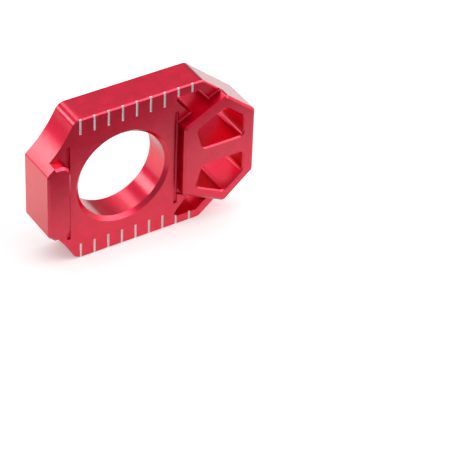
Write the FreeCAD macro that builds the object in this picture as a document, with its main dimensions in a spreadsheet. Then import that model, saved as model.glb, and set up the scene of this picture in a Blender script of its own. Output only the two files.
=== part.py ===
import FreeCAD, Part
import math
import os
import Sketcher
from FreeCAD import Placement, Rotation, Vector

# Axle adjuster block of a motorcycle chain adjuster, milled from one aluminium billet.
# Frame in millimetres: the origin is the centre of the axle bore, halfway through the plate.
# +X runs along the swingarm to the chamfered end, +Y along the axle from the seating face to the
# outer face under the axle nut, and +Z up across the block's width.

SIZES = {
    # Plate
    "plate_width": 43,
    "plate_thickness": 9.5,
    "bore_to_boss_end": 37,
    "bore_to_rib_end": 23,
    "boss_end_flat": 19,
    "chamfer_angle": 40,
    "rib_end_flat": 18.6,
    "hollow_length": 9.3,
    "hollow_radius": 32,
    # Axle bore
    "bore_diameter": 25,
    "bore_chamfer": 1,
    # Boss and rib, which stand on the seating face and locate the block in the swingarm's slot
    "step_height": 3,
    "bore_to_boss_wall": 16.1,
    "bore_to_rib_wall": 16.5,
    "boss_wall_length": 20.8,
    "boss_slant_angle": 27,
    "rib_length": 22.2,
    # Round-bottomed relief grooves in the seating face, a little way off the boss and the rib
    "relief_radius": 0.5,
    "relief_gap": 0.25,
    "relief_length": 28.8,
    # Large pockets through boss and plate
    "large_rim": 3,
    "large_end_wall": 3.4,
    "strut_width": 5.3,
    "large_web": 9,
    "large_web_angle": 16.4,
    # Small pockets through the plate, between the boss and the long edges
    "small_rim": 2.7,
    "small_web": 10.4,
    "small_web_angle": 41.6,
    # Engraved scale
    "mark_count": 9,
    "mark_pitch": 4,
    "first_mark": 12.3,
    "mark_length": 4.5,
    "mark_width": 0.52,
    "mark_depth": 0.2,
    # Rounded corners and broken edges
    "long_corner_radius": 2.5,
    "hollow_corner_radius": 3,
    "end_corner_radius": 1,
    "boss_corner_radius": 1,
    "rib_corner_radius": 3,
    "large_corner_radius": 1.2,
    "small_corner_radius": 1,
    "edge_break": 0.35,
    "step_edge_break": 0.6,
    # How far a cutting sketch reaches past the outline that it trims
    "overcut": 2,
}

NEAR = 0.001

doc = FreeCAD.newDocument("axle_adjuster_block")


def make_sheet(sizes):
    """Writes each driving size to a cell of its own and gives the cell its alias."""
    sheet = doc.addObject("Spreadsheet::Sheet", "sizes")
    for row, (alias, number) in enumerate(sizes.items(), start=1):
        sheet.set("A%d" % row, alias)
        sheet.set("B%d" % row, str(number))
        sheet.setAlias("B%d" % row, alias)
    doc.recompute()
    return sheet


sheet = make_sheet(SIZES)


def value(expression):
    """What an expression on the sheet's cells comes to, as a plain number."""
    result = sheet.evalExpression(expression)
    return float(getattr(result, "Value", result))


# A straight edge is the angle of its normal from X and its distance from the bore's axis, and a
# point is an X and a Z. Both are pairs of expressions on the sheet's cells.


def line_through(angle, point):
    """The straight edge with that normal angle that passes through a point."""
    return angle, "((%s) * cos(%s) + (%s) * sin(%s))" % (point[0], angle, point[1], angle)


def moved_out(line, distance):
    """The same edge, moved away from the bore's axis."""
    return line[0], "(%s + %s)" % (line[1], distance)


def moved_in(line, distance):
    """The same edge, moved towards the bore's axis."""
    return line[0], "(%s - %s)" % (line[1], distance)


def meet(first, second):
    """The point where two straight edges cross."""
    (a, p), (b, q) = first, second
    turn = "sin(%s - (%s))" % (b, a)
    across = "(%s * sin(%s) - %s * sin(%s)) / %s" % (p, b, q, a, turn)
    up = "(%s * cos(%s) - %s * cos(%s)) / %s" % (q, a, p, b, turn)
    return across, up


def distance(first, second):
    """How far apart two points are."""
    return "hypot(%s - (%s); %s - (%s))" % (first[0], second[0], first[1], second[1])


def arc_crossing(start, finish, radius, up):
    """How far across the arc from start to finish, which curves into the metal, is at a height."""
    chord = distance(start, finish)
    reach = "sqrt((%s)^2 - (%s)^2 / 4) / %s" % (radius, chord, chord)
    centre_across = "((%s + %s) / 2 - (%s - (%s)) * %s)" % (start[0], finish[0], finish[1], start[1], reach)
    centre_up = "((%s + %s) / 2 + (%s - (%s)) * %s)" % (start[1], finish[1], finish[0], start[0], reach)
    return "(%s + sqrt((%s)^2 - (%s - %s)^2))" % (centre_across, radius, up, centre_up)


def mirrored(points):
    """The same points below the block's middle plane, in the opposite order."""
    return [(across, "-(%s)" % up) for across, up in reversed(points)]


# The block's own edges and corners, seen along the axle, and the levels of its faces from the
# middle of the plate. Sketch levels count towards the boss side.

TOWARDS_END = "0"
UPWARDS = "90"
SEAT_LEVEL = "sizes.plate_thickness / 2"
OUTER_LEVEL = "-sizes.plate_thickness / 2"
HALF_WIDTH = "sizes.plate_width / 2"

boss_end = (TOWARDS_END, "sizes.bore_to_boss_end")
boss_wall = (TOWARDS_END, "sizes.bore_to_boss_wall")
rib_wall = (TOWARDS_END, "-sizes.bore_to_rib_wall")
rib_end = (TOWARDS_END, "-sizes.bore_to_rib_end")
long_edge = (UPWARDS, HALF_WIDTH)
boss_end_corner = ("sizes.bore_to_boss_end", "sizes.boss_end_flat / 2")
chamfer = line_through("90 - sizes.chamfer_angle", boss_end_corner)
long_corner = meet(chamfer, long_edge)
rib_end_corner = ("-sizes.bore_to_rib_end", "sizes.rib_end_flat / 2")
hollow_corner = ("sizes.hollow_length - sizes.bore_to_rib_end", HALF_WIDTH)
boss_wall_corner = (boss_wall[1], "sizes.boss_wall_length / 2")
boss_slant = line_through("90 + sizes.boss_slant_angle", boss_wall_corner)
boss_tip = meet(boss_slant, chamfer)
rib_wall_corner = (rib_wall[1], "sizes.rib_length / 2")

body = doc.addObject("PartDesign::Body", "axle_block")
body.Label = "axle_block"


def origin_item(role):
    """One of the body's own origin planes or axes."""
    return next(item for item in body.Origin.OriginFeatures if item.Role == role)


def new_sketch(name, role, level):
    """A sketch on an origin plane, moved along the plane's normal to a level."""
    sketch = body.newObject("Sketcher::SketchObject", name)
    sketch.AttachmentSupport = (origin_item(role), [""])
    sketch.MapMode = "FlatFace"
    sketch.setExpression("AttachmentOffset.Base.z", level)
    return sketch


def face_sketch(name, level=SEAT_LEVEL):
    """A sketch in the seating face, or at another level through the plate."""
    return new_sketch(name, "XZ_Plane", level)


def vector(point):
    """A point as it comes out with the present sizes."""
    return Vector(value(point[0]), value(point[1]), 0)


def hold(sketch, expression, kind, *where):
    """Adds a constraint whose size follows an expression."""
    index = sketch.addConstraint(Sketcher.Constraint(kind, *where, value(expression)))
    sketch.setExpression("Constraints[%d]" % index, expression)


def pin(sketch, element, end, point):
    """Holds one end of a sketch element at a point."""
    for kind, expression in zip(("DistanceX", "DistanceY"), point):
        if value(expression) < 0:
            hold(sketch, "-(%s)" % expression, kind, element, end, -1, 1)
        else:
            hold(sketch, expression, kind, -1, 1, element, end)


def outline(sketch, corners, first_edge_radius=None):
    """Draws a closed outline through the corners; its first edge may be an arc."""
    start = sketch.GeometryCount
    ends = [vector(corner) for corner in corners]
    for index, end in enumerate(ends):
        following = ends[(index + 1) % len(ends)]
        if index == 0 and first_edge_radius:
            edge = arc_between(end, following, value(first_edge_radius))
        else:
            edge = Part.LineSegment(end, following)
        sketch.addGeometry(edge, False)
    for index, corner in enumerate(corners):
        before = start + (index - 1) % len(corners)
        sketch.addConstraint(Sketcher.Constraint("Coincident", before, 2, start + index, 1))
        pin(sketch, start + index, 1, corner)
    if first_edge_radius:
        hold(sketch, first_edge_radius, "Radius", start)


def arc_between(start, finish, radius):
    """The shorter arc that runs anticlockwise from start to finish."""
    chord = finish - start
    outwards = Vector(chord.y, -chord.x, 0).normalize()
    sag = radius - math.sqrt(radius ** 2 - (chord.Length / 2) ** 2)
    return Part.Arc(start, (start + finish) / 2 + outwards * sag, finish)


def pad(name, sketch, length, reverse):
    """Raises a sketch into metal."""
    feature = body.newObject("PartDesign::Pad", name)
    feature.Profile = sketch
    feature.setExpression("Length", length)
    feature.Reversed = reverse
    doc.recompute()
    return feature


def cut_through(name, sketch):
    """Cuts a sketch through everything, both ways."""
    feature = body.newObject("PartDesign::Pocket", name)
    feature.Profile = sketch
    feature.Type = "ThroughAll"
    feature.SideType = "Symmetric"
    doc.recompute()
    return feature


def engrave(name, sketch, depth, reverse=False):
    """Cuts a sketch into the metal behind its plane, to a depth."""
    feature = body.newObject("PartDesign::Pocket", name)
    feature.Profile = sketch
    feature.setExpression("Length", depth)
    feature.Reversed = reverse
    doc.recompute()
    return feature


def mirror(feature):
    """Repeats a cut below the block's middle plane."""
    copy = body.newObject("PartDesign::Mirrored", feature.Name + "_mirrored")
    copy.Originals = [feature]
    copy.MirrorPlane = (origin_item("XY_Plane"), [""])
    body.Tip = copy
    doc.recompute()


def make_plate():
    """The flat plate, still square at the rib end."""
    sketch = face_sketch("plate_outline")
    corners = [meet(rib_end, long_edge), long_corner, boss_end_corner]
    outline(sketch, corners + mirrored(corners))
    pad("plate", sketch, "sizes.plate_thickness", True)


def make_boss():
    """The six-sided boss at the chamfered end, flush with the end and with both chamfers."""
    sketch = face_sketch("boss_outline")
    corners = [boss_wall_corner, boss_tip, boss_end_corner]
    outline(sketch, corners + mirrored(corners))
    pad("boss", sketch, "sizes.step_height", False)


def make_rib():
    """The rib across the other end; the hollows trim its outer corners afterwards."""
    sketch = face_sketch("rib_outline")
    corners = [(rib_end[1], rib_wall_corner[1]), rib_wall_corner]
    outline(sketch, corners + mirrored(corners))
    pad("rib", sketch, "sizes.step_height", False)


def make_hollows():
    """The two hollow corners at the rib end, cut on an arc through plate and rib."""
    sketch = face_sketch("hollow_outline")
    left = "-(sizes.bore_to_rib_end + sizes.overcut)"
    above = HALF_WIDTH + " + sizes.overcut"
    corners = [
        rib_end_corner,
        hollow_corner,
        (hollow_corner[0], above),
        (left, above),
        (left, rib_end_corner[1]),
    ]
    outline(sketch, corners, "sizes.hollow_radius")
    mirror(cut_through("hollow", sketch))


def make_bore():
    """The axle bore through the plate."""
    sketch = face_sketch("bore_outline")
    circle = Part.Circle(Vector(0, 0, 0), Vector(0, 0, 1), value("sizes.bore_diameter") / 2)
    sketch.addGeometry(circle, False)
    sketch.addConstraint(Sketcher.Constraint("Coincident", 0, 3, -1, 1))
    hold(sketch, "sizes.bore_diameter", "Diameter", 0)
    cut_through("bore", sketch)


def bore_side(web, angle):
    """A pocket's edge on the bore's side, with a web of metal between them."""
    return angle, "(sizes.bore_diameter / 2 + %s)" % web


def crossings(lines):
    """The corners between edges given in turn."""
    return [meet(line, lines[index - 1]) for index, line in enumerate(lines)]


def large_pocket():
    """Corners of the upper large pocket, which keeps a rim inside the boss's own edges."""
    return crossings([
        (UPWARDS, "sizes.strut_width / 2"),
        moved_in(boss_end, "sizes.large_end_wall"),
        moved_in(chamfer, "sizes.large_rim"),
        moved_in(boss_slant, "sizes.large_rim"),
        bore_side("sizes.large_web", "sizes.large_web_angle"),
    ])


def small_pocket():
    """Corners of the upper small pocket, whose lower wall carries on from the boss's slant."""
    return crossings([
        boss_slant,
        moved_in(chamfer, "sizes.small_rim"),
        moved_in(long_edge, "sizes.small_rim"),
        bore_side("sizes.small_web", "sizes.small_web_angle"),
    ])


def make_pockets():
    """Four pockets right through, two large and two small."""
    for name, corners in (("large_pocket", large_pocket()), ("small_pocket", small_pocket())):
        sketch = face_sketch(name + "_outline")
        outline(sketch, corners)
        mirror(cut_through(name, sketch))


def obround(sketch, start, finish, width):
    """Draws a slot with round ends between two end centres that lie one above the other."""
    first = sketch.GeometryCount
    radius = value(width) / 2
    low, high = vector(start), vector(finish)
    side = Vector(radius, 0, 0)
    sketch.addGeometry(Part.LineSegment(low + side, high + side), False)
    sketch.addGeometry(Part.Arc(high + side, high + Vector(0, radius, 0), high - side), False)
    sketch.addGeometry(Part.LineSegment(high - side, low - side), False)
    sketch.addGeometry(Part.Arc(low - side, low - Vector(0, radius, 0), low + side), False)
    for index in range(4):
        here, following = first + index, first + (index + 1) % 4
        sketch.addConstraint(Sketcher.Constraint("Tangent", here, 2, following, 1))
    pin(sketch, first + 3, 3, start)
    pin(sketch, first + 1, 3, finish)
    hold(sketch, "%s / 2" % width, "Radius", first + 1)


def disc(sketch, centre, radius):
    """Draws the round cross-section of a groove."""
    index = sketch.GeometryCount
    circle = Part.Circle(vector(centre), Vector(0, 0, 1), value(radius))
    sketch.addGeometry(circle, False)
    pin(sketch, index, 3, centre)
    hold(sketch, radius, "Radius", index)


def make_reliefs():
    """Grooves beside the feet of the boss and the rib, which clear the slot's sharp corners."""
    radius = "sizes.relief_radius"
    beside = "(%s + sizes.relief_gap)" % radius
    seat = "-sizes.plate_thickness / 2"
    walls = new_sketch("wall_relief_outline", "XY_Plane", "0")
    disc(walls, (moved_in(boss_wall, beside)[1], seat), radius)
    disc(walls, (moved_out(rib_wall, beside)[1], seat), radius)
    engrave("wall_relief", walls, "sizes.relief_length").SideType = "Symmetric"
    across, up = boss_wall_corner
    turn = "90 - sizes.boss_slant_angle"
    slant = new_sketch("slant_relief_outline", "XY_Plane", up)
    slant.AttachmentOffset = Placement(Vector(), Rotation(Vector(0, 1, 0), value(turn)))
    slant.setExpression("AttachmentOffset.Base.x", across)
    slant.setExpression("AttachmentOffset.Rotation.Angle", turn)
    disc(slant, ("-" + beside, seat), radius)
    mirror(engrave("slant_relief", slant, "sizes.plate_width", True))


def edge_names(feature, wanted):
    """Names of a feature's edges that pass a test."""
    edges = enumerate(feature.Shape.Edges, start=1)
    return ["Edge%d" % number for number, edge in edges if wanted(edge)]


def dress(kind, name, size, expression, wanted):
    """Rounds or bevels the edges of the shape so far that pass a test."""
    base = body.Tip
    feature = body.newObject("PartDesign::" + kind, name)
    feature.Base = (base, edge_names(base, wanted))
    feature.setExpression(size, expression)
    doc.recompute()


def is_upright_at(edge, corners):
    """Whether an edge runs straight through the plate at one of the corners."""
    middle = edge.CenterOfMass
    if not any(math.hypot(middle.x - x, middle.z - z) < NEAR for x, z, nothing in corners):
        return False
    return len(edge.Vertexes) == 2 and abs(edge.tangentAt(edge.FirstParameter).y) > 1 - NEAR


def round_corners(name, corners, radius):
    """Rounds the upright edges at the given corners and at their mirror images."""
    places = [vector(corner) for corner in corners + mirrored(corners)]
    dress("Fillet", name, "Radius", radius, lambda edge: is_upright_at(edge, places))


def is_flat_at(item, level):
    """Whether an edge or a face lies in a plane at a sketch level."""
    box = item.BoundBox
    height = -value(level)
    return abs(box.YMin - height) < NEAR and abs(box.YMax - height) < NEAR


def is_bore_rim(edge):
    """Whether an edge is one of the bore's two rims."""
    if not isinstance(edge.Curve, Part.Circle):
        return False
    centre = edge.Curve.Center
    on_axis = math.hypot(centre.x, centre.z) < NEAR
    return on_axis and abs(edge.Curve.Radius - value("sizes.bore_diameter") / 2) < NEAR


def is_long_edge(edge):
    """Whether an edge is the seating face's border along one of the long sides."""
    at_side = abs(abs(edge.CenterOfMass.z) - value(HALF_WIDTH)) < NEAR
    return at_side and is_flat_at(edge, SEAT_LEVEL)


def borders(level, inner):
    """The edges around the flat faces at a level, or those around the openings in them."""
    edges = []
    for face in body.Tip.Shape.Faces:
        if is_flat_at(face, level):
            wires = [wire for wire in face.Wires if wire.isSame(face.OuterWire) != inner]
            edges += [edge for wire in wires for edge in wire.Edges]
    return edges


def rib_corner_limit():
    """The largest radius that leaves a broken edge's width of flat on the rib's upper side."""
    height = rib_wall_corner[1]
    trimmed = arc_crossing(rib_end_corner, hollow_corner, "sizes.hollow_radius", height)
    return "(%s - %s - 2 * sizes.step_edge_break)" % (rib_wall_corner[0], trimmed)


def small_corner_limit():
    """The largest radius that fits both ends of the small pocket's shortest wall."""
    lower_end, upper_end = small_pocket()[1:3]
    return "(%s / 2)" % distance(lower_end, upper_end)


def round_all_corners():
    """Rounds the upright corners, each kind with the radius of the cutter that left it."""
    round_corners("long_corners", [long_corner], "sizes.long_corner_radius")
    round_corners("hollow_corners", [hollow_corner], "sizes.hollow_corner_radius")
    round_corners("end_corners", [boss_end_corner, rib_end_corner], "sizes.end_corner_radius")
    round_corners("boss_corners", [boss_wall_corner, boss_tip], "sizes.boss_corner_radius")
    rib_radius = "min(sizes.rib_corner_radius; %s)" % rib_corner_limit()
    round_corners("rib_corners", [rib_wall_corner], rib_radius)
    round_corners("large_corners", large_pocket(), "sizes.large_corner_radius")
    small_radius = "min(sizes.small_corner_radius; %s)" % small_corner_limit()
    round_corners("small_corners", small_pocket(), small_radius)


def break_edges():
    """Bevels the sharp edges; the seating face's border follows on from its long sides."""
    step_level = SEAT_LEVEL + " + sizes.step_height"
    size = "sizes.edge_break"
    dress("Chamfer", "seat_break", "Size", size, is_long_edge)
    dress("Chamfer", "outer_break", "Size", size,
          lambda edge: is_flat_at(edge, OUTER_LEVEL) and not is_bore_rim(edge))
    for name, width, inner in (("step_break", "sizes.step_edge_break", False), ("rim_break", size, True)):
        edges = borders(step_level, inner)
        dress("Chamfer", name, "Size", width, lambda edge: any(edge.isSame(other) for other in edges))
    dress("Chamfer", "bore_chamfers", "Size", "sizes.bore_chamfer", is_bore_rim)


def repeat_marks(mark):
    """Repeats the first scale line at the scale's pitch, towards the chamfered end."""
    scale = body.newObject("PartDesign::LinearPattern", mark.Name + "s")
    scale.Originals = [mark]
    scale.Direction = (origin_item("X_Axis"), [""])
    scale.Mode = "Spacing"
    scale.setExpression("Offset", "sizes.mark_pitch")
    scale.setExpression("Occurrences", "sizes.mark_count")
    body.Tip = scale
    doc.recompute()


def make_scales():
    """Engraves the scale along both long sides of both faces and on the lower long side."""
    across = "-sizes.first_mark"
    inner_centre = "- sizes.mark_length + sizes.mark_width / 2"
    inner = "(%s %s)" % (HALF_WIDTH, inner_centre)
    outer = "(%s + sizes.overcut)" % HALF_WIDTH
    faces = (("seat_mark", SEAT_LEVEL, False), ("outer_mark", OUTER_LEVEL, True))
    for name, level, reverse in faces:
        sketch = face_sketch(name + "_outline", level)
        obround(sketch, (across, inner), (across, outer), "sizes.mark_width")
        obround(sketch, (across, "-" + outer), (across, "-" + inner), "sizes.mark_width")
        repeat_marks(engrave(name, sketch, "sizes.mark_depth", reverse))
    sketch = new_sketch("side_mark_outline", "XY_Plane", "-" + HALF_WIDTH)
    inner = "sizes.plate_thickness / 2 " + inner_centre
    outer = "sizes.plate_thickness / 2 + sizes.overcut"
    obround(sketch, (across, inner), (across, outer), "sizes.mark_width")
    repeat_marks(engrave("side_mark", sketch, "sizes.mark_depth", True))


def check_model():
    """Stops if any feature failed or the block isn't one sound solid."""
    doc.recompute()
    failed = [item.Label for item in doc.Objects if {"Invalid", "Error"} & set(item.State)]
    if failed:
        raise RuntimeError("failed: " + ", ".join(failed))
    shape = body.Shape
    if shape.isNull() or not shape.isValid() or len(shape.Solids) != 1:
        raise RuntimeError("the block isn't one sound solid")


make_plate()
make_boss()
make_rib()
make_hollows()
make_bore()
make_pockets()
round_all_corners()
break_edges()
make_reliefs()
make_scales()
check_model()

os.makedirs("parts", exist_ok=True)
body.Shape.exportStep("parts/%s.step" % body.Label)
print("%s: %.1f cubic mm" % (body.Label, body.Shape.Volume))
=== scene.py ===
import math

import bpy
from mathutils import Matrix, Vector


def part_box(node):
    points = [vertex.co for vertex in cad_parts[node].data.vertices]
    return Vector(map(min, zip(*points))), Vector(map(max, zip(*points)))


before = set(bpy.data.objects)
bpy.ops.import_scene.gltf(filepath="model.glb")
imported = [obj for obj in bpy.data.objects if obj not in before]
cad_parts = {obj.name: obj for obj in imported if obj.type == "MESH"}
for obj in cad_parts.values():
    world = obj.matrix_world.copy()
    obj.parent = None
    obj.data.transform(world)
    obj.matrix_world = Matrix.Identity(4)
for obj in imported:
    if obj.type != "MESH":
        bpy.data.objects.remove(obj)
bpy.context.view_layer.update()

MM = 0.001
WHITE = (1, 1, 1, 1)
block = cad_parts["axle_block"]
low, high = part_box("axle_block")

# Lengths are in millimetres, places are from the bore's centre, and angles are in degrees. An azimuth goes
# from the front, which is -Y, towards +X.

# The outer face's place along Y, and the lower side's along Z
OUTER_LEVEL = high.y / MM
LOWER_LEVEL = low.z / MM

# The engraved scale, as in the block itself: how far its first line is from the bore towards the rib, the
# spacing and number of its lines, and their size
FIRST_MARK = 12.3
MARK_PITCH = 4
MARK_COUNT = 9
MARK_LENGTH = 4.5
MARK_WIDTH = 0.52
MARK_DEPTH = 0.2

# How a line's bare metal ends: from just inside the line's edge to just outside it, a little either way at
# its end on a face, past its end on the lower side, and some way below its bottom
MARK_INSIDE = 0.02
MARK_OUTSIDE = 0.06
MARK_END_BLUR = 0.03
MARK_PAST_END = 0.05
METAL_REACH = 0.1
METAL_FADE = 0.1

# The anodised red: its two shades, the noise values between which one turns into the other, the darker red
# painted into recesses as shade, and its colour in a look along the surface. Last is the colour of the
# scale's cuts.
RED_DEEP = (0.89, 0.006, 0.052, 1)
RED_BRIGHT = (1.0, 0.009, 0.072, 1)
SHADE_RANGE = (0.35, 0.65)
RED_PAINTED_SHADE = (0.6, 0.004, 0.048, 1)
RED_GRAZING = (0.02, 0.005, 0.01, 1)
BARE_METAL = (0.95, 0.95, 0.96, 1)

# Painted shade in recesses: how many rays look for walls of the block and how far, and the openness at which
# the shade has its full effect and the one at which it has none, first for the red painted darker and then
# for the coat thinned there
PAINTED_SHADE_RAYS = 8
PAINTED_SHADE_REACH = 5.5
PAINTED_SHADE_OPENNESS = (0.4, 0.95)
COAT_SHADE_REACH = 12
COAT_SHADE_OPENNESS = (0.35, 0.95)

# The metal's roughness, with the noise values between which it changes, and the clear oxide coat: its
# weight in the deepest pockets, thinned there as painted shade, its roughness and its refractive index
SMOOTHEST = 0.40
ROUGHEST = 0.46
CLOUD_RANGE = (0.3, 0.7)
COAT_LEAST = 0.35
COAT_ROUGHNESS = 0.14
COAT_IOR = 1.62

# Fine structure: how often clouds, grain and the mill's streaks change in a millimetre, how much finer
# noise is in them, the streaks' share beside the grain, and how far they stand out from the surface
CLOUD_SCALE = 0.35
GRAIN_SCALE = 2.2
GRAIN_DETAIL = 3
STREAK_SCALES = (0.12, 8, 0.12)
STREAK_DETAIL = 2
STREAK_SHARE = 0.6
RELIEF_STRENGTH = 0.5
RELIEF_HEIGHT = 0.03

# The camera: where it stands, how far it is shifted across its view, how near it sees, and its focal
# length in pixels of the photograph
CAMERA_AZIMUTH = -32.98
CAMERA_ELEVATION = 37.87
CAMERA_ROLL = 2.25
CAMERA_DISTANCE = 653.2
CAMERA_RIGHT = 27.97
CAMERA_UP = -14.93
CAMERA_NEAREST = 10
FOCAL_PIXELS = 2587
IMAGE_PIXELS = 450
SENSOR = 36

# Soft panels of the studio: name, azimuth and elevation of the middle, how far from it the panel starts
# and ends to fade, and how bright it is
PANELS = (
    ("left_window", -136, 23.5, 5, 12, 4.2),
    ("back_strip", -174, 49, 3, 12, 1.5),
    ("overhead", 150, 82, 10, 48, 1.5),
    ("front_window", 46, 37, 6, 36, 2.1),
    ("right_window", 85, 25, 10, 50, 0.5),
)
ROOM_LIGHT = 0.26

# The floor, which lies a little below the block so that no two faces share a plane
FLOOR_SIZE = 4000
FLOOR_GAP = 0.02
FLOOR_ROUGHNESS = 0.9

# The floor's colour in front of the block, which is seen only in the block's mirroring and paints a darker
# reflection there, behind that, and to the camera
FLOOR_DARK = (0.15, 0.15, 0.15, 1)
FLOOR_PALE = (0.78, 0.78, 0.78, 1)
FLOOR_WHITE = (0.9, 0.9, 0.9, 1)

# Where along Y the floor turns from dark to pale, and where its glow starts and is full. A share of X is
# added to Y there, which sets these edges aslant.
FLOOR_DARK_TO = -47
FLOOR_PALE_FROM = -25
GLOW_FROM = -20
GLOW_FULL_FROM = 20
FLOOR_SLANT = 0.2

# How bright the floor glows in what the block mirrors, and to the camera
MIRRORED_GLOW = 0.42
CAMERA_GLOW = 0.3


def direction(azimuth, elevation):
    """The way from the block towards something around it."""
    azimuth, elevation = math.radians(azimuth), math.radians(elevation)
    flat = math.cos(elevation)
    return Vector((math.sin(azimuth) * flat, -math.cos(azimuth) * flat, math.sin(elevation)))


class Nodes:
    """Short ways to add and join the nodes of one material or world."""

    def __init__(self, tree):
        self.tree = tree

    def add(self, kind, **settings):
        node = self.tree.nodes.new(kind)
        for name, value in settings.items():
            setattr(node, name, value)
        return node

    def put(self, socket, value):
        """Give an input a value, or the output that feeds it."""
        if isinstance(value, bpy.types.NodeSocket):
            self.tree.links.new(value, socket)
        else:
            socket.default_value = value

    def compute(self, operation, first, second=0.0):
        node = self.add("ShaderNodeMath", operation=operation)
        self.put(node.inputs[0], first)
        self.put(node.inputs[1], second)
        return node.outputs[0]

    def change(self, value, start, end, first, last):
        """A smooth change from a first number to a last one, while the value goes from start to end."""
        node = self.add("ShaderNodeMapRange", interpolation_type="SMOOTHSTEP")
        numbers = {"Value": value, "From Min": start, "From Max": end, "To Min": first, "To Max": last}
        for name, number in numbers.items():
            self.put(node.inputs[name], number)
        return node.outputs["Result"]

    def rise(self, value, start, end):
        return self.change(value, start, end, 0.0, 1.0)

    def fall(self, value, start, end):
        return self.change(value, start, end, 1.0, 0.0)

    def mix(self, factor, first, second):
        """The first colour where the factor is 0, and the second where it is 1."""
        node = self.add("ShaderNodeMix", data_type="RGBA")
        for name, value in (("Factor", factor), ("A", first), ("B", second)):
            self.put(next(socket for socket in node.inputs if socket.name == name and socket.enabled), value)
        return next(socket for socket in node.outputs if socket.enabled)

    def noise(self, place, scale, detail):
        node = self.add("ShaderNodeTexNoise")
        self.put(node.inputs["Vector"], place)
        self.put(node.inputs["Scale"], scale)
        self.put(node.inputs["Detail"], detail)
        return node.outputs["Fac"]

    def stretched(self, place, scales):
        """The same place with each axis scaled by itself."""
        node = self.add("ShaderNodeVectorMath", operation="MULTIPLY")
        self.put(node.inputs[0], place)
        self.put(node.inputs[1], scales)
        return node.outputs["Vector"]

    def place(self):
        """Where the surface is, in millimetres from its object's origin."""
        metres = self.add("ShaderNodeTexCoord").outputs["Object"]
        return self.stretched(metres, (1 / MM,) * 3)

    def axes(self, place):
        node = self.add("ShaderNodeSeparateXYZ")
        self.put(node.inputs[0], place)
        return tuple(node.outputs)

    def openness(self, distance):
        """1 in the open, and less where walls of the same object stand within the distance."""
        node = self.add("ShaderNodeAmbientOcclusion", only_local=True, samples=PAINTED_SHADE_RAYS)
        self.put(node.inputs["Distance"], distance * MM)
        return node.outputs["AO"]


def new_material(name):
    """A new material, its nodes and its shader."""
    material = bpy.data.materials.new(name)
    material.use_nodes = True
    return material, Nodes(material.node_tree), material.node_tree.nodes["Principled BSDF"]


def make_camera():
    """The photograph's view of the block."""
    back = direction(CAMERA_AZIMUTH, CAMERA_ELEVATION)
    level = direction(CAMERA_AZIMUTH + 90, 0)
    turn = Matrix.Rotation(math.radians(CAMERA_ROLL), 3, back)
    right = turn @ level
    up = turn @ back.cross(level)
    camera_data = bpy.data.cameras.new("camera")
    camera_data.sensor_width = SENSOR
    camera_data.lens = SENSOR * FOCAL_PIXELS / IMAGE_PIXELS
    camera_data.clip_start = CAMERA_NEAREST * MM
    camera = bpy.data.objects.new("camera", camera_data)
    camera.matrix_world = Matrix((right, up, back)).transposed().to_4x4()
    camera.location = (right * CAMERA_RIGHT + up * CAMERA_UP + back * CAMERA_DISTANCE) * MM
    bpy.context.scene.collection.objects.link(camera)
    bpy.context.scene.camera = camera


def make_world():
    """A soft studio of a few panels, white where the camera looks past the floor."""
    world = bpy.data.worlds.new("studio")
    world.use_nodes = True
    nodes = Nodes(world.node_tree)
    outwards = nodes.add("ShaderNodeTexCoord").outputs["Generated"]
    light = ROOM_LIGHT
    for name, azimuth, elevation, fade_from, fade_to, strength in PANELS:
        facing = nodes.add("ShaderNodeVectorMath", operation="DOT_PRODUCT", label=name)
        nodes.put(facing.inputs[0], outwards)
        nodes.put(facing.inputs[1], direction(azimuth, elevation))
        edge, full = math.cos(math.radians(fade_to)), math.cos(math.radians(fade_from))
        panel = nodes.change(facing.outputs["Value"], edge, full, 0.0, strength)
        light = nodes.compute("ADD", light, panel)
    to_camera = nodes.add("ShaderNodeLightPath").outputs["Is Camera Ray"]
    background = world.node_tree.nodes["Background"]
    nodes.put(background.inputs["Strength"], nodes.compute("MAXIMUM", light, to_camera))
    nodes.put(background.inputs["Color"], WHITE)
    bpy.context.scene.world = world


def make_floor():
    """A floor that is white to the camera, and that the block mirrors dark in front and bright behind."""
    material, nodes, shader = new_material("floor")
    path = nodes.add("ShaderNodeLightPath").outputs
    to_camera = path["Is Camera Ray"]
    x, y = nodes.axes(nodes.place())[:2]
    along = nodes.compute("ADD", y, nodes.compute("MULTIPLY", x, FLOOR_SLANT))
    # Painted reflection: the floor is dark in front only for rays other than the camera's, so the block
    # mirrors darker there
    graded = nodes.mix(nodes.rise(along, FLOOR_DARK_TO, FLOOR_PALE_FROM), FLOOR_DARK, FLOOR_PALE)
    nodes.put(shader.inputs["Base Color"], nodes.mix(to_camera, graded, FLOOR_WHITE))
    nodes.put(shader.inputs["Roughness"], FLOOR_ROUGHNESS)

    behind = nodes.change(along, GLOW_FROM, GLOW_FULL_FROM, 0.0, MIRRORED_GLOW)
    mirrored = nodes.compute("MULTIPLY", path["Is Glossy Ray"], behind)
    seen = nodes.compute("MULTIPLY", to_camera, CAMERA_GLOW)
    nodes.put(shader.inputs["Emission Color"], WHITE)
    nodes.put(shader.inputs["Emission Strength"], nodes.compute("ADD", seen, mirrored))

    bpy.ops.mesh.primitive_plane_add(size=FLOOR_SIZE * MM, location=(0, 0, low.z - FLOOR_GAP * MM))
    floor = bpy.context.object
    floor.name = "floor"
    floor.data.materials.append(material)


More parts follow.
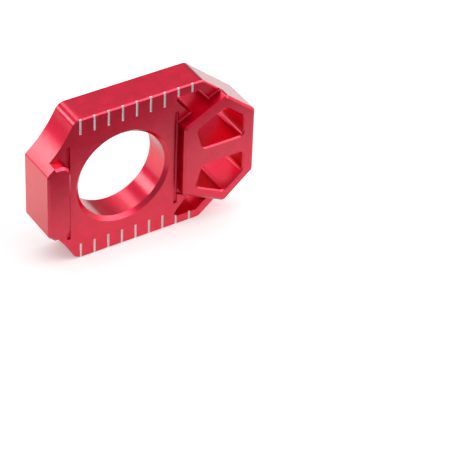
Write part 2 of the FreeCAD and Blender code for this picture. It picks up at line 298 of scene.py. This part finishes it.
def mark_mask(nodes, x, y, z):
    """1 in the engraved lines of the scale, and 0 elsewhere."""
    half_scale = MARK_PITCH * (MARK_COUNT - 1) / 2
    from_middle = nodes.compute("ABSOLUTE", nodes.compute("ADD", x, FIRST_MARK - half_scale))
    on_scale = nodes.fall(from_middle, half_scale + MARK_WIDTH, half_scale + MARK_PITCH / 2)
    from_line = nodes.compute("PINGPONG", nodes.compute("ADD", x, FIRST_MARK), MARK_PITCH / 2)
    on_line = nodes.fall(from_line, MARK_WIDTH / 2 - MARK_INSIDE, MARK_WIDTH / 2 + MARK_OUTSIDE)

    face_end = -LOWER_LEVEL - MARK_LENGTH
    near_edge = nodes.rise(nodes.compute("ABSOLUTE", z), face_end - MARK_END_BLUR, face_end + MARK_END_BLUR)
    face_bottom = OUTER_LEVEL - MARK_DEPTH - METAL_REACH
    near_face = nodes.rise(nodes.compute("ABSOLUTE", y), face_bottom - METAL_FADE, face_bottom)
    on_face = nodes.compute("MULTIPLY", near_edge, near_face)

    side_end = OUTER_LEVEL - MARK_LENGTH
    near_outer_face = nodes.rise(y, side_end - MARK_PAST_END, side_end)
    side_bottom = LOWER_LEVEL + MARK_DEPTH + METAL_REACH
    near_side = nodes.fall(z, side_bottom, side_bottom + METAL_FADE)
    on_side = nodes.compute("MULTIPLY", near_outer_face, near_side)

    on_block = nodes.compute("MAXIMUM", on_face, on_side)
    return nodes.compute("MULTIPLY", nodes.compute("MULTIPLY", on_scale, on_line), on_block)


def make_finish():
    """Red anodised aluminium, satin, with bare metal in the scale's lines and painted shade in its recesses.
    """
    material, nodes, shader = new_material("red_anodised_aluminium")
    place = nodes.place()
    marks = mark_mask(nodes, *nodes.axes(place))
    anodised = nodes.compute("SUBTRACT", 1.0, marks)

    # The red varies in soft clouds and fine grain, and is painted darker in recesses as shade
    clouds = nodes.noise(place, CLOUD_SCALE, GRAIN_DETAIL)
    grain = nodes.noise(place, GRAIN_SCALE, GRAIN_DETAIL)
    average = nodes.compute("MULTIPLY", nodes.compute("ADD", clouds, grain), 0.5)
    red = nodes.mix(nodes.rise(average, *SHADE_RANGE), RED_DEEP, RED_BRIGHT)
    unshaded = nodes.rise(nodes.openness(PAINTED_SHADE_REACH), *PAINTED_SHADE_OPENNESS)
    # Painted shade: a darker red where walls of the block stand near
    red = nodes.mix(unshaded, RED_PAINTED_SHADE, red)

    # The cuts of the scale scatter light as a pale paint does, so they aren't metallic to the shader
    nodes.put(shader.inputs["Base Color"], nodes.mix(marks, red, BARE_METAL))
    nodes.put(shader.inputs["Metallic"], anodised)
    nodes.put(shader.inputs["Roughness"], nodes.change(clouds, *CLOUD_RANGE, SMOOTHEST, ROUGHEST))
    nodes.put(shader.inputs["Specular Tint"], RED_GRAZING)

    # The coat is thinned in deep pockets, which paints shade there, and the cuts have none
    # Painted shade: less coat where walls of the block stand near
    coat = nodes.change(nodes.openness(COAT_SHADE_REACH), *COAT_SHADE_OPENNESS, COAT_LEAST, 1.0)
    nodes.put(shader.inputs["Coat Weight"], nodes.compute("MULTIPLY", anodised, coat))
    nodes.put(shader.inputs["Coat Roughness"], COAT_ROUGHNESS)
    nodes.put(shader.inputs["Coat IOR"], COAT_IOR)

    # Grain and mill streaks stand out a little from the surface
    streaks = nodes.noise(nodes.stretched(place, STREAK_SCALES), 1.0, STREAK_DETAIL)
    relief = nodes.compute("ADD", grain, nodes.compute("MULTIPLY", streaks, STREAK_SHARE))
    bump = nodes.add("ShaderNodeBump")
    nodes.put(bump.inputs["Height"], relief)
    nodes.put(bump.inputs["Strength"], RELIEF_STRENGTH)
    nodes.put(bump.inputs["Distance"], RELIEF_HEIGHT * MM)
    for name in ("Normal", "Coat Normal"):
        nodes.put(shader.inputs[name], bump.outputs["Normal"])
    return material


make_camera()
make_world()
make_floor()
block.material_slots[0].material = make_finish()

bpy.context.scene.view_settings.view_transform = "Standard"
